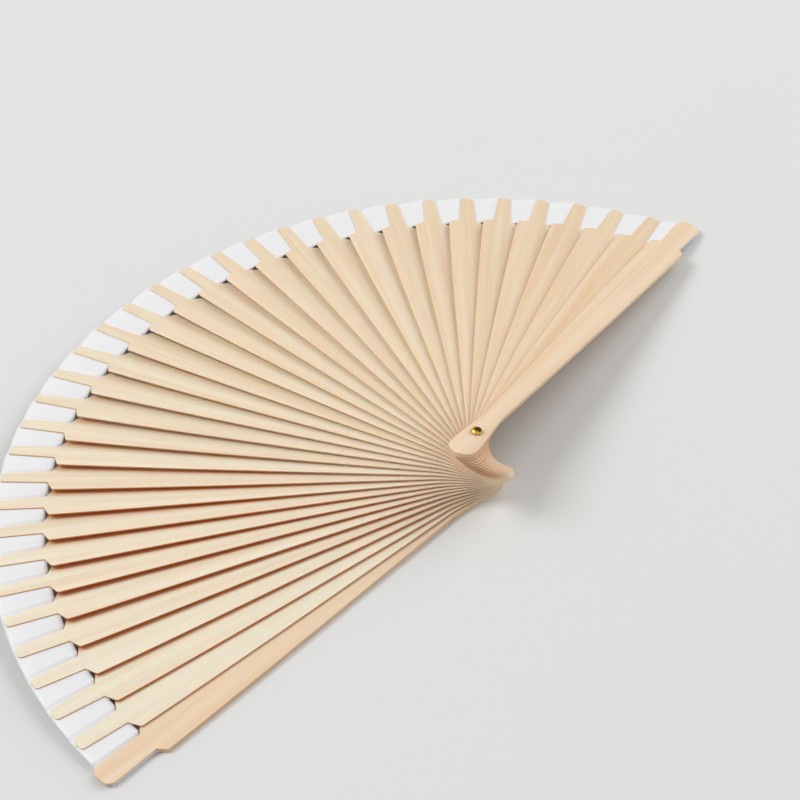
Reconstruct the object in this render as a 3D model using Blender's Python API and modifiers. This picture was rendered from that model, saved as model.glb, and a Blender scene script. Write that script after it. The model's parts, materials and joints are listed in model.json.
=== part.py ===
"""Wooden folding fan, lying open on a table.

Thin sticks and two thicker guards turn on one rivet. A ribbon behind the tongues
at their outer ends joins them. Each stick lies a little lower than the one before
it, so the open sticks climb round the rivet like a flat spiral stair, from the
bottom guard, which lies on the table, to the top guard.

A stick is drawn flat in its own frame: the rivet's axis crosses its middle plane
at the origin, +X runs along the stick to its tongue, +Y is the side towards the
bottom guard and +Z is up. Lengths are in metres and angles in radians.
"""

import math

import bmesh
import bpy
from mathutils import Matrix, Vector

OBJECT_NAME = "folding_fan"

# Sticks
STICK_COUNT = 32
STICK_REACH = 0.2085
STICK_THICKNESS = 0.00056
STICK_GAP = 0.00039
TONGUE_LENGTH = 0.0216
TONGUE_END_WIDTH = 0.0064
TONGUE_BASE_WIDTH = 0.0080
TONGUE_CORNER_RADIUS = 0.0016
SHOULDER_WIDTH = 0.0186
SHOULDER_SLOPE = 0.0028
SHOULDER_CORNER_RADIUS = 0.0008
WAIST_WIDTH = 0.0078
WAIST_REACH = 0.0170
TAIL_WIDTH = 0.0125
TAIL_REACH = 0.0172

# Guards. Their tongues start where the sticks' tongues start and reach a little further.
GUARD_OVERREACH = 0.0034
GUARD_THICKNESS = 0.0024
GUARD_WIDTH = 0.0172
GUARD_TAIL_REACH = 0.0172
GUARD_TONGUE_END_WIDTH = 0.0112
GUARD_TONGUE_BASE_WIDTH = 0.0100
GUARD_TONGUE_CORNER_RADIUS = 0.0042
GUARD_TONGUE_THICKNESS = 0.0010
GUARD_RAMP_LENGTH = 0.0016
GUARD_BEVEL_DEPTH = 0.0007
GUARD_BEVEL_WIDTH = 0.0038

# Rivet
PIN_RADIUS = 0.0014
PIN_CLEARANCE = 0.0004
HEAD_RADIUS = 0.0025
HEAD_HEIGHT = 0.0014
HEAD_SEAT_GAP = 0.0005
FOOT_RADIUS = 0.0022
FOOT_THICKNESS = 0.0004
FOOT_OVERLENGTH = 0.0004
WASHER_RADIUS = 0.0026
WASHER_THICKNESS = 0.0003
WASHER_BORE_CLEARANCE = 0.0003
WASHER_GAP = 0.0003
RECESS_CLEARANCE = 0.0003

# Ribbon
RIBBON_THICKNESS = 0.00025
RIBBON_GAP = 0.0002
RIBBON_OVERHANG = 0.0008
RIBBON_INNER_MARGIN = 0.0005
RIBBON_SIDE_MARGIN = 0.0004

# Angles of the open fan, each step counted between two neighbours. The sticks lie a
# little closer together in the lower half, about the tightest place in the pile, and
# the lowest ones lie flatter and flatter, down to the bottom guard.
GUARD_STEP = math.radians(5.0)
TOP_STEP = math.radians(5.3)
HALFWAY_STEP = math.radians(5.2)
TIGHTEST_STEP = math.radians(4.65)
BOTTOM_STEP = math.radians(5.1)
HALFWAY_SHARE = 0.5
TIGHTEST_SHARE = 0.75
LOUVRE_ROLL = math.radians(7.0)
LEVELLING_COUNT = 6
MIDDLE_SAG = math.radians(0.15)
STEEPEST_DROOP = math.radians(12.0)
DROOP_HALVINGS = 50
TABLE_CLEARANCE = 0.00005

# Cuts run past the wood by the overrun, and points closer than the weld are one
CUT_OVERRUN = 0.002
WELD = 0.000002

# Finish
BLADE_CURVE = 1.3
GUARD_CURVE = 1.25
BLADE_POINTS = 6
TAIL_POINTS = 7
NECK_POINTS = 7
CORNER_POINTS = 3
HOLE_POINTS = 12
ROUND_POINTS = 32
DOME_POINTS = 6
STICK_COLOUR = (0.86, 0.70, 0.49)
GUARD_COLOUR = (0.84, 0.67, 0.46)
RIBBON_COLOUR = (0.84, 0.84, 0.87)
BRASS_COLOUR = (0.80, 0.60, 0.22)

GUARD_TOP, GUARD_BOTTOM = 0, STICK_COUNT + 1
TONGUE_ROOT = STICK_REACH - TONGUE_LENGTH
GUARD_REACH = STICK_REACH + GUARD_OVERREACH
HOLE_RADIUS = PIN_RADIUS + PIN_CLEARANCE
RECESS_RADIUS = WASHER_RADIUS + RECESS_CLEARANCE
RECESS_DEPTH = FOOT_THICKNESS + WASHER_THICKNESS + 2 * WASHER_GAP


def clear_scene():
    """Remove every object, so that the script can be run again."""
    for thing in list(bpy.data.objects):
        bpy.data.objects.remove(thing, do_unlink=True)


def new_collection(name):
    collection = bpy.data.collections.new(name)
    bpy.context.scene.collection.children.link(collection)
    return collection


def new_material(name, colour, roughness, metallic=0.0):
    material = bpy.data.materials.new(name)
    material.use_nodes = True
    shader = material.node_tree.nodes["Principled BSDF"]
    shader.inputs["Base Color"].default_value = (*colour, 1.0)
    shader.inputs["Roughness"].default_value = roughness
    shader.inputs["Metallic"].default_value = metallic
    material.diffuse_color = (*colour, 1.0)
    return material


def blend(low, high, share):
    return low + (high - low) * share


def open_step(index):
    """Angle between piece number index and the next one below it."""
    share = index / STICK_COUNT
    if index == GUARD_TOP:
        return GUARD_STEP
    if share < HALFWAY_SHARE:
        return blend(TOP_STEP, HALFWAY_STEP, share / HALFWAY_SHARE)
    if share < TIGHTEST_SHARE:
        place_share = (share - HALFWAY_SHARE) / (TIGHTEST_SHARE - HALFWAY_SHARE)
        return blend(HALFWAY_STEP, TIGHTEST_STEP, place_share)
    return blend(TIGHTEST_STEP, BOTTOM_STEP, (share - TIGHTEST_SHARE) / (1 - TIGHTEST_SHARE))


def opening(index=GUARD_BOTTOM):
    """Angle from the top guard to piece number index."""
    return sum(open_step(number) for number in range(index))


def heading(index):
    """Direction of a piece about the rivet. The middle of the fan is at +Y."""
    return math.pi / 2 - opening() / 2 + opening(index)


def roll(index):
    """Tilt of a piece about its own length. It fades out over the lowest sticks."""
    share = min(1.0, (GUARD_BOTTOM - index) / LEVELLING_COUNT)
    return LOUVRE_ROLL * (1 - math.cos(math.pi * share)) / 2


def thickness(index):
    return GUARD_THICKNESS if index in (GUARD_TOP, GUARD_BOTTOM) else STICK_THICKNESS


def level(index):
    """Height of a piece's middle plane over the bottom guard's, along the rivet."""
    if index == GUARD_BOTTOM:
        return 0.0
    below = index + 1
    wedge = SHOULDER_WIDTH / 2 * math.tan(roll(index) - roll(below))
    return level(below) + (thickness(index) + thickness(below)) / 2 + STICK_GAP + wedge


def droop_of(index, droop):
    """Slope of a piece down from the plane square to the rivet."""
    return droop + MIDDLE_SAG * math.sin(math.pi * opening(index) / opening())


def rivet_frame(droop):
    """Turns the rivet's frame so that the bottom guard lies level on the table."""
    side = Vector((-math.sin(heading(GUARD_BOTTOM)), math.cos(heading(GUARD_BOTTOM)), 0))
    lift = GUARD_THICKNESS / 2 / math.cos(droop)
    return Matrix.Rotation(-droop, 4, side) @ Matrix.Translation((0, 0, lift))


def piece_frame(index, droop):
    """Place of a stick or guard in the open fan."""
    turned = Matrix.Rotation(heading(index), 4, "Z")
    drooped = Matrix.Rotation(droop_of(index, droop), 4, "Y")
    rolled = Matrix.Rotation(roll(index), 4, "X")
    return rivet_frame(droop) @ Matrix.Translation((0, 0, level(index))) @ turned @ drooped @ rolled


def ribbon_corners(index):
    """The strip's four corners in a piece's own plane, just outside its tongue's edges."""
    guard = index in (GUARD_TOP, GUARD_BOTTOM)
    widths = (TONGUE_BASE_WIDTH, TONGUE_END_WIDTH)
    if guard:
        widths = (GUARD_TONGUE_BASE_WIDTH, GUARD_TONGUE_END_WIDTH)
    reaches = (TONGUE_ROOT + RIBBON_INNER_MARGIN, STICK_REACH + RIBBON_OVERHANG)
    height = ribbon_height(index)
    sides = []
    for turn in (-1, 1):
        halves = [width / 2 + RIBBON_SIDE_MARGIN for width in widths]
        sides.append([Vector((x, turn * half, height)) for x, half in zip(reaches, halves)])
    return sides


def ribbon_height(index):
    """Height of the ribbon's upper face in a piece's own frame, under its tongue."""
    under = -thickness(index) / 2
    if index == GUARD_BOTTOM:
        under = GUARD_THICKNESS / 2 - GUARD_TONGUE_THICKNESS
    return under - RIBBON_GAP


def lowest_tip(droop):
    """Height of the lowest ribbon corner over the table for a given droop."""
    drop = Vector((0.0, 0.0, RIBBON_THICKNESS))
    lowest = math.inf
    for index in range(1, GUARD_BOTTOM):
        frame = piece_frame(index, droop)
        for side in ribbon_corners(index):
            lowest = min([lowest] + [(frame @ (corner - drop)).z for corner in side])
    return lowest


def resting_droop():
    """The droop at which the sticks hang down until the lowest tip meets the table."""
    flat, steep = 0.0, STEEPEST_DROOP
    for _ in range(DROOP_HALVINGS):
        middle = (flat + steep) / 2
        if lowest_tip(middle) > TABLE_CLEARANCE:
            flat = middle
        else:
            steep = middle
    return flat


def arc(centre, radius, start, end, count):
    """Points on an arc, both ends included."""
    points = []
    for number in range(count + 1):
        angle = start + (end - start) * number / count
        points.append((centre[0] + radius * math.cos(angle), centre[1] + radius * math.sin(angle)))
    return points


def tail_side(tail_reach):
    """The tail's round end and the neck from it to the waist."""
    radius = TAIL_WIDTH / 2
    centre = radius - tail_reach
    points = arc((centre, 0.0), radius, math.pi, math.pi / 2, TAIL_POINTS)
    for number in range(1, NECK_POINTS):
        share = number / NECK_POINTS
        ease = (1 + math.cos(math.pi * share)) / 2
        x = centre + (WAIST_REACH - centre) * share
        points.append((x, (WAIST_WIDTH + (TAIL_WIDTH - WAIST_WIDTH) * ease) / 2))
    return points


def blade_side(shoulder_width, corner_x, curve):
    """The blade's edge, which swells from the waist to the shoulder."""
    points = []
    end = corner_x - SHOULDER_CORNER_RADIUS
    for number in range(BLADE_POINTS + 1):
        share = number / BLADE_POINTS
        swell = 1 - (1 - share) ** curve
        x = WAIST_REACH + (end - WAIST_REACH) * share
        points.append((x, (WAIST_WIDTH + (shoulder_width - WAIST_WIDTH) * swell) / 2))
    return points


def tongue_side(reach, base_width, end_width, radius):
    """The tongue's edge from its root to the middle of its rounded end."""
    points = [(TONGUE_ROOT, base_width / 2)]
    centre = (reach - radius, end_width / 2 - radius)
    points += arc(centre, radius, math.pi / 2, 0.0, CORNER_POINTS)
    return points


def outline(tail_reach, shoulder_width, curve, tongue):
    """Closed outline of a stick or guard, with its two long edges alike."""
    corner_x = TONGUE_ROOT - SHOULDER_SLOPE
    inset = SHOULDER_CORNER_RADIUS
    upper = tail_side(tail_reach) + blade_side(shoulder_width, corner_x, curve)
    upper.append((corner_x + inset / 2, shoulder_width / 2 - inset))
    upper += tongue
    lower = [(x, -y) for x, y in reversed(upper) if y > 0.0]
    return upper + [point for point in lower if point[0] > upper[0][0]]


def add_spline(curve, points):
    spline = curve.splines.new("POLY")
    spline.points.add(len(points) - 1)
    for point, (x, y) in zip(spline.points, points):
        point.co = (x, y, 0.0, 1.0)
    spline.use_cyclic_u = True


def flat_curve(name, points, depth, hole_radius):
    """A flat sheet with the given outline and a round hole at the origin."""
    curve = bpy.data.curves.new(name, "CURVE")
    curve.dimensions = "2D"
    curve.fill_mode = "BOTH"
    curve.extrude = depth / 2
    add_spline(curve, points)
    full_turn = arc((0.0, 0.0), hole_radius, 0.0, 2 * math.pi, HOLE_POINTS)
    add_spline(curve, full_turn[:-1])
    return curve


def place(name, data, frame, material, collection):
    thing = bpy.data.objects.new(name, data)
    collection.objects.link(thing)
    thing.matrix_world = frame
    if material:
        data.materials.clear()
        data.materials.append(material)
    return thing


def as_mesh(thing):
    """Replace a curve object by a mesh object with its caps welded on."""
    bpy.context.view_layer.update()
    name, frame = thing.name, thing.matrix_world.copy()
    evaluated = thing.evaluated_get(bpy.context.evaluated_depsgraph_get())
    mesh = bpy.data.meshes.new_from_object(evaluated)
    welded = bmesh.new()
    welded.from_mesh(mesh)
    bmesh.ops.remove_doubles(welded, verts=welded.verts, dist=WELD)
    welded.to_mesh(mesh)
    welded.free()
    owner = thing.users_collection[0]
    bpy.data.objects.remove(thing, do_unlink=True)
    return place(name, mesh, frame, mesh.materials[0], owner)


def box_mesh(name, low, high):
    """A box between two corners."""
    mesh = bpy.data.meshes.new(name)
    shape = bmesh.new()
    bmesh.ops.create_cube(shape, size=1.0)
    size = [b - a for a, b in zip(low, high)]
    middle = [(a + b) / 2 for a, b in zip(low, high)]
    bmesh.ops.scale(shape, vec=size, verts=shape.verts)
    bmesh.ops.translate(shape, vec=middle, verts=shape.verts)
    shape.to_mesh(mesh)
    shape.free()
    return mesh


def prism_mesh(name, profile, half_width):
    """A prism along Y with the given outline in X and Z."""
    mesh = bpy.data.meshes.new(name)
    shape = bmesh.new()
    near = [shape.verts.new((x, -half_width, z)) for x, z in profile]
    far = [shape.verts.new((x, half_width, z)) for x, z in profile]
    shape.faces.new(near)
    shape.faces.new(far)
    for number, corner in enumerate(near):
        before = number - 1
        shape.faces.new((near[before], corner, far[number], far[before]))
    bmesh.ops.recalc_face_normals(shape, faces=shape.faces)
    shape.to_mesh(mesh)
    shape.free()
    return mesh


def cylinder_mesh(name, radius, low, high):
    """A cylinder about Z between two heights."""
    mesh = bpy.data.meshes.new(name)
    shape = bmesh.new()
    bmesh.ops.create_cone(
        shape, cap_ends=True, segments=ROUND_POINTS, radius1=radius, radius2=radius, depth=high - low
    )
    bmesh.ops.translate(shape, vec=(0.0, 0.0, (low + high) / 2), verts=shape.verts)
    shape.to_mesh(mesh)
    shape.free()
    return mesh


def cut(thing, mesh, frame, cutters):
    """Take a cutter's shape away from a piece."""
    cutter = place(mesh.name, mesh, frame, None, cutters)
    cutter.hide_render = True
    cutter.display_type = "WIRE"
    modifier = thing.modifiers.new(cutter.name, "BOOLEAN")
    modifier.operation = "DIFFERENCE"
    modifier.solver = "EXACT"
    modifier.object = cutter
    return cutter


def add_sticks(droop, material, collection):
    """The thin sticks, numbered from the top guard to the bottom guard."""
    tongue = tongue_side(STICK_REACH, TONGUE_BASE_WIDTH, TONGUE_END_WIDTH, TONGUE_CORNER_RADIUS)
    points = outline(TAIL_REACH, SHOULDER_WIDTH, BLADE_CURVE, tongue)
    curve = flat_curve("stick", points, STICK_THICKNESS, HOLE_RADIUS)
    for index in range(1, GUARD_BOTTOM):
        place(f"stick_{index:02d}", curve, piece_frame(index, droop), material, collection)


def add_guard(name, index, droop, material, collection, cutters):
    """A guard: planed along one edge of its outer face, with a thinner tongue."""
    outward = 1.0 if index == GUARD_TOP else -1.0
    tongue = tongue_side(
        GUARD_REACH, GUARD_TONGUE_BASE_WIDTH, GUARD_TONGUE_END_WIDTH, GUARD_TONGUE_CORNER_RADIUS
    )
    points = outline(GUARD_TAIL_REACH, GUARD_WIDTH, GUARD_CURVE, tongue)
    curve = flat_curve(name, points, GUARD_THICKNESS, HOLE_RADIUS)
    frame = piece_frame(index, droop)
    guard = as_mesh(place(name, curve, frame, material, collection))
    # The cutters are drawn for a guard whose outer face is up, then turned over with it.
    turned = frame @ Matrix.Rotation(0.0 if outward > 0 else math.pi, 4, "X")
    face = GUARD_THICKNESS / 2
    # The planed band runs along the blade's edge, so its ridge turns outwards with it.
    flare = math.atan2((GUARD_WIDTH - WAIST_WIDTH) / 2, TONGUE_ROOT - WAIST_REACH)
    slope = math.atan2(GUARD_BEVEL_DEPTH, GUARD_BEVEL_WIDTH)
    ridge = Matrix.Translation((WAIST_REACH, WAIST_WIDTH / 2 - GUARD_BEVEL_WIDTH, face))
    ridge = ridge @ Matrix.Rotation(flare, 4, "Z") @ Matrix.Rotation(-slope, 4, "X")
    bevel = box_mesh(
        f"{name}_bevel",
        (-GUARD_TAIL_REACH - WAIST_REACH - CUT_OVERRUN, -CUT_OVERRUN, 0.0),
        (GUARD_REACH + CUT_OVERRUN, GUARD_WIDTH, GUARD_THICKNESS),
    )
    cut(guard, bevel, turned @ ridge, cutters)
    drop = GUARD_THICKNESS - GUARD_TONGUE_THICKNESS
    overrun_x = CUT_OVERRUN * GUARD_RAMP_LENGTH / drop
    thinning = [
        (TONGUE_ROOT - GUARD_RAMP_LENGTH - overrun_x, face + CUT_OVERRUN),
        (TONGUE_ROOT, face - drop),
        (GUARD_REACH + CUT_OVERRUN, face - drop),
        (GUARD_REACH + CUT_OVERRUN, face + CUT_OVERRUN),
    ]
    cut(guard, prism_mesh(f"{name}_thinning", thinning, GUARD_WIDTH), turned, cutters)
    if index == GUARD_BOTTOM:
        recess = cylinder_mesh(f"{name}_recess", RECESS_RADIUS, face - RECESS_DEPTH, face + CUT_OVERRUN)
        cut(guard, recess, turned, cutters)
    return guard


def turned_mesh(name, profile, closed):
    """A profile at +X, from top to bottom, ready for a Screw modifier."""
    mesh = bpy.data.meshes.new(name)
    edges = [(number, number + 1) for number in range(len(profile) - 1)]
    if closed:
        edges.append((len(profile) - 1, 0))
    mesh.from_pydata([(x, 0.0, z) for x, z in profile], edges, [])
    return mesh


def add_turned(name, profile, frame, material, collection, closed=False):
    """A round piece, turned about its own Z. A ring's profile is closed."""
    thing = place(name, turned_mesh(name, profile, closed), frame, material, collection)
    screw = thing.modifiers.new("turn", "SCREW")
    screw.steps = ROUND_POINTS
    screw.render_steps = ROUND_POINTS
    screw.use_merge_vertices = True
    screw.merge_threshold = WELD
    screw.use_smooth_shade = True
    return thing


def add_rivet(droop, material, collection, cutters):
    """The pin with its domed head, hammered flat at its foot over a washer."""
    seat = level(GUARD_TOP) + GUARD_THICKNESS / 2 + HEAD_SEAT_GAP
    start = -GUARD_THICKNESS / 2
    profile = []
    for number in range(DOME_POINTS + 1):
        angle = math.pi / 2 * (1 - number / DOME_POINTS)
        profile.append((HEAD_RADIUS * math.cos(angle), seat + HEAD_HEIGHT * math.sin(angle)))
    profile[0] = (0.0, seat + HEAD_HEIGHT)
    profile += [
        (PIN_RADIUS, seat),
        (PIN_RADIUS, start + FOOT_THICKNESS),
        (FOOT_RADIUS, start + FOOT_THICKNESS),
        (FOOT_RADIUS, start - FOOT_OVERLENGTH),
        (0.0, start - FOOT_OVERLENGTH),
    ]
    pin = add_turned("rivet_pin", profile, rivet_frame(droop), material, collection)
    reach = FOOT_RADIUS + CUT_OVERRUN
    table = box_mesh("rivet_foot_trim", (-reach, -reach, -reach), (reach, reach, 0.0))
    cut(pin, table, Matrix.Identity(4), cutters)


def add_washer(droop, material, collection):
    """The washer under the hammered foot, level in the bottom guard's recess."""
    bore = PIN_RADIUS + WASHER_BORE_CLEARANCE
    low = FOOT_THICKNESS + WASHER_GAP
    high = low + WASHER_THICKNESS
    axis = rivet_frame(droop).to_3x3() @ Vector((0, 0, 1))
    centre = axis * ((low + high) / 2 / axis.z)
    half = WASHER_THICKNESS / 2
    profile = [(bore, half), (WASHER_RADIUS, half), (WASHER_RADIUS, -half), (bore, -half)]
    add_turned("rivet_washer", profile, Matrix.Translation(centre), material, collection, closed=True)


def add_ribbon(droop, material, collection):
    """One strip of ribbon behind all the tongues, straight from each to the next."""
    strip = bmesh.new()
    rows = []
    for index in range(GUARD_TOP, GUARD_BOTTOM + 1):
        frame = piece_frame(index, droop)
        for side in ribbon_corners(index):
            rows.append([strip.verts.new(frame @ corner) for corner in side])
    for before, after in zip(rows, rows[1:]):
        strip.faces.new((before[0], before[1], after[1], after[0]))
    mesh = bpy.data.meshes.new("ribbon")
    strip.to_mesh(mesh)
    strip.free()
    ribbon = place("ribbon", mesh, Matrix.Identity(4), material, collection)
    solidify = ribbon.modifiers.new("thickness", "SOLIDIFY")
    solidify.thickness = RIBBON_THICKNESS
    solidify.offset = -1.0
    solidify.use_even_offset = True


def main():
    clear_scene()
    collection = new_collection(OBJECT_NAME)
    cutters = new_collection(f"{OBJECT_NAME}_cutters")
    stick_wood = new_material("stick_wood", STICK_COLOUR, 0.6)
    guard_wood = new_material("guard_wood", GUARD_COLOUR, 0.55)
    ribbon_cloth = new_material("ribbon_cloth", RIBBON_COLOUR, 0.5)
    brass = new_material("brass", BRASS_COLOUR, 0.25, 1.0)
    droop = resting_droop()
    add_sticks(droop, stick_wood, collection)
    add_guard("top_guard", GUARD_TOP, droop, guard_wood, collection, cutters)
    add_guard("bottom_guard", GUARD_BOTTOM, droop, guard_wood, collection, cutters)
    add_rivet(droop, brass, collection, cutters)
    add_washer(droop, brass, collection)
    add_ribbon(droop, ribbon_cloth, collection)
    bpy.context.view_layer.update()


main()
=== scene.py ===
import json
import math
import random

import bmesh
import bpy
from mathutils import Matrix, Vector


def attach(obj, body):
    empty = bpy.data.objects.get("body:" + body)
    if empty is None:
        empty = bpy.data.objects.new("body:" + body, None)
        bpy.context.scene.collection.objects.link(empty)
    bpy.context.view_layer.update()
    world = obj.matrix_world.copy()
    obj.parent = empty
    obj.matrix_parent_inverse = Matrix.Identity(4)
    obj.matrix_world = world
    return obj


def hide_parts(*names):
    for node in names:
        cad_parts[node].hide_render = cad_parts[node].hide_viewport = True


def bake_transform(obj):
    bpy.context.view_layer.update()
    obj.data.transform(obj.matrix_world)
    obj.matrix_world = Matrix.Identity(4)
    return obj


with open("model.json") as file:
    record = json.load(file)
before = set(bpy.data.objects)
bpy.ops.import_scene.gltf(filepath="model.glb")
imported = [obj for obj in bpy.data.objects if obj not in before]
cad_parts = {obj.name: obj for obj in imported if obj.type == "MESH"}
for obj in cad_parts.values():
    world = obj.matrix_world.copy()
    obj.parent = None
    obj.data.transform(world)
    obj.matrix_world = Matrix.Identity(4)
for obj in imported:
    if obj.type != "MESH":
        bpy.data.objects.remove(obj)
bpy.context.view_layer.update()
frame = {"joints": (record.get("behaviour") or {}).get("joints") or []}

bl_info = {
    "name": "Wooden Folding Fan",
    "version": (1, 0, 0),
    "blender": (4, 5, 0),
    "location": "View3D > Sidebar > Fan",
    "description": "Dresses an open wooden folding fan: sticks, guards, rivet, ribbon and a pale table",
    "category": "Object",
}

# Sticks, in metres. They have the sizes of the solids that they stand for.
STICK_COUNT = 32
STICK_REACH = 0.2085
STICK_THICKNESS = 0.00056
STICK_GAP = 0.00039
TONGUE_LENGTH = 0.0216
TONGUE_END_WIDTH = 0.0064
TONGUE_BASE_WIDTH = 0.0080
TONGUE_CORNER_RADIUS = 0.0016
SHOULDER_WIDTH = 0.0186
SHOULDER_SLOPE = 0.0028
SHOULDER_CORNER_RADIUS = 0.0008
WAIST_WIDTH = 0.0078
WAIST_REACH = 0.0170
TAIL_WIDTH = 0.0125
TAIL_REACH = 0.0172
HOLE_RADIUS = 0.0018
STICK_CURVE = 1.3

# Guards
GUARD_REACH = 0.2119
GUARD_THICKNESS = 0.0024
GUARD_WIDTH = 0.0172
GUARD_TAIL_REACH = 0.0172
GUARD_TONGUE_END_WIDTH = 0.0112
GUARD_TONGUE_BASE_WIDTH = 0.0100
GUARD_TONGUE_CORNER_RADIUS = 0.0042
GUARD_TONGUE_THICKNESS = 0.0010
GUARD_RAMP_LENGTH = 0.0016
GUARD_BEVEL_DEPTH = 0.0007
GUARD_BEVEL_WIDTH = 0.0038
GUARD_CURVE = 1.25

# Rivet
PIN_RADIUS = 0.0014
HEAD_RADIUS = 0.0025
HEAD_HEIGHT = 0.0014
HEAD_SEAT_GAP = 0.0005
FOOT_RADIUS = 0.0022
FOOT_THICKNESS = 0.0004
WASHER_RADIUS = 0.0026
WASHER_THICKNESS = 0.0003
WASHER_BORE = 0.0017
WASHER_GAP = 0.0003
RECESS_RADIUS = 0.0029
RECESS_DEPTH = 0.0013

# Ribbon
RIBBON_INNER = 0.1861
RIBBON_OUTER = 0.2096
RIBBON_THICKNESS = 0.00012
RIBBON_GLUE = 0.00003
RIBBON_MARGIN = 0.0003
RIBBON_STIFF_WIDTH = 0.0012
RIBBON_LEAVING_SPAN = (0.0, 0.15)
RIBBON_DIPPING_SPAN = (0.76, 1.0)

# Angles of the open fan
GUARD_STEP = math.radians(5.0)
TOP_STEP = math.radians(5.3)
HALFWAY_STEP = math.radians(5.2)
TIGHTEST_STEP = math.radians(4.65)
BOTTOM_STEP = math.radians(5.1)
HALFWAY_SHARE = 0.5
TIGHTEST_SHARE = 0.75
LOUVRE_ROLL = math.radians(7.0)
LEVELLING_COUNT = 6
MIDDLE_SAG = math.radians(0.15)

# Shares of the wood's tones and of its painted light and shade. A crease share under nought paints a glow.
TOP_PAINTED_SHADE_TONE = 0.42
BOTTOM_PAINTED_LIGHT_TONE = -0.45
GUARD_TONE = 0.30
LEAST_CREASE = 0.08
PAINTED_GLOW_SHARE = -1.0
TAIL_CREASE = 0.8
INNER_CREASE = 0.8
PALE_RIM = 0.20
TONE_SPREAD = 0.08
STICK_RIM_BROWN_AND_SHADE = 0.7
GUARD_RIM_BROWN_AND_SHADE = 0.25
STICK_TRANSLUCENCY = 0.5
GUARD_TRANSLUCENCY = 0.2

# The pieces, counted from the top guard, over which the shares above change
WINDOW_TURN_PIECES = (16, 25)
TAIL_CREASE_PIECES = (6, 18)
TAIL_RIM_PIECES = (9, 18)
INNER_CREASE_PIECES = (21, 27)

# The places along a piece, from the rivet and in metres, over which they change
OUTER_CREASE_SPAN = (0.020, 0.110)
GLOW_END_SPAN = (0.150, 0.195)
TAIL_CREASE_SPAN = (0.0, 0.040)
TAIL_RIM_SPAN = (0.0, 0.080)

# Patterns of the materials, in metres. Each piece's grain starts somewhere within the shift.
GRAIN_SHIFT = 3.0
FIBRE_LENGTH = 0.045
FIBRE_HEIGHT = 0.00004
BAND_LENGTH = 0.160
BAND_WIDTH = 0.0045
FLECK_LENGTH = 0.0030
FLECK_WIDTH = 0.00035
SHADE_REACH = 0.011
WOOD_LIGHT_DEPTH = 0.0012
THREAD_LENGTH = 0.012
THREAD_SPACING = 0.0004
THREAD_HEIGHT = 0.00004
ROW_LENGTH = 0.006
CLOTH_LIGHT_DEPTH = 0.0006
DENT_WIDTH = 0.0011
DENT_DEPTH = 0.00012
TARNISH_WIDTH = 0.0004
CLOUD_WIDTH = 0.35
GRIT_WIDTH = 0.0012
GRIT_HEIGHT = 0.00005

# Colours that go with those a user can change
# Painted light: the pale colour with which shaded creases glow
PAINTED_GLOW_COLOUR = "ffe9cb"
THREAD_COLOUR = "f1f1f5"
TARNISH_COLOUR = "8d6a1e"
CLOUD_COLOUR = "e2e2e0"
SKY_COLOUR = "ffffff"
BACKDROP_COLOUR = "e3e3e1"

# Mesh detail. A face is broad or cut by how far its normal leans towards the blade's own.
HOLE_SIDES = 40
RIVET_SIDES = 48
BLADE_EDGE_ANGLE = math.radians(28.0)
BLADE_SMOOTH_ANGLE = math.radians(40.0)
RIVET_SMOOTH_ANGLE = math.radians(35.0)
BROAD_FACE_LEAST = 0.97
CUT_FACE_MOST = 0.5

# Camera and lights, in metres, the lens and sensor in millimetres
CAMERA_LENS = 99.0
CAMERA_SENSOR = 36.0
CAMERA_REACH = (0.05, 50.0)
CAMERA_AIM = (0.00330, 0.04184, 0.03159)
CAMERA_DISTANCE = 0.96003
CAMERA_AZIMUTH = math.radians(49.94)
CAMERA_ELEVATION = math.radians(42.99)
CAMERA_ROLL = math.radians(2.78)
KEY_DISTANCE = 4.0
KEY_SIZE = 1.7
KEY_HEADING = math.radians(123.0)
KEY_ELEVATION = math.radians(48.0)
KEY_LEVEL = 0.33
FILL_DISTANCE = 4.0
FILL_SIZE = 3.4
FILL_HEADING = math.radians(-20.0)
FILL_ELEVATION = math.radians(32.0)
FILL_LEVEL = 0.30
SKY_LEVEL = 0.43
DARK_SIDE = (0.80, 0.05, 0.60)
DARK_SIDE_EDGE = (0.60, 0.80)
DARK_SIDE_LEVEL = 0.10
TABLE_SIZE = 8.0

GUARD_TOP, GUARD_BOTTOM = 0, STICK_COUNT + 1
TONGUE_ROOT = STICK_REACH - TONGUE_LENGTH
RIVET_AXIS = Vector(frame["joints"][0]["axis"]).normalized()
DROOP = math.acos(RIVET_AXIS.z)


def piece_name(index):
    """Name of the body and CAD node at a place in the pile, counted from the top guard."""
    if index == GUARD_TOP:
        return "top_guard"
    return "bottom_guard" if index == GUARD_BOTTOM else f"stick_{index:02d}"


def blend(low, high, share):
    """A value between two others."""
    return low + (high - low) * share


def smooth(value, span=(0.0, 1.0)):
    """A smooth step from 0 to 1 while a value crosses a span."""
    share = min(1.0, max(0.0, (value - span[0]) / (span[1] - span[0])))
    return share * share * (3 - 2 * share)


def open_step(index):
    """Angle between a piece and the next one below it."""
    share = index / STICK_COUNT
    if index == GUARD_TOP:
        return GUARD_STEP
    if share < HALFWAY_SHARE:
        return blend(TOP_STEP, HALFWAY_STEP, share / HALFWAY_SHARE)
    if share < TIGHTEST_SHARE:
        share = (share - HALFWAY_SHARE) / (TIGHTEST_SHARE - HALFWAY_SHARE)
        return blend(HALFWAY_STEP, TIGHTEST_STEP, share)
    return blend(TIGHTEST_STEP, BOTTOM_STEP, (share - TIGHTEST_SHARE) / (1 - TIGHTEST_SHARE))


def opening(index=GUARD_BOTTOM):
    """Angle from the top guard to a piece."""
    return sum(open_step(number) for number in range(index))


def heading(index):
    """Direction of a piece about the rivet."""
    return math.pi / 2 - opening() / 2 + opening(index)


def roll(index):
    """Tilt of a piece about its own length. It fades out over the lowest sticks."""
    share = min(1.0, (GUARD_BOTTOM - index) / LEVELLING_COUNT)
    return LOUVRE_ROLL * (1 - math.cos(math.pi * share)) / 2


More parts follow.
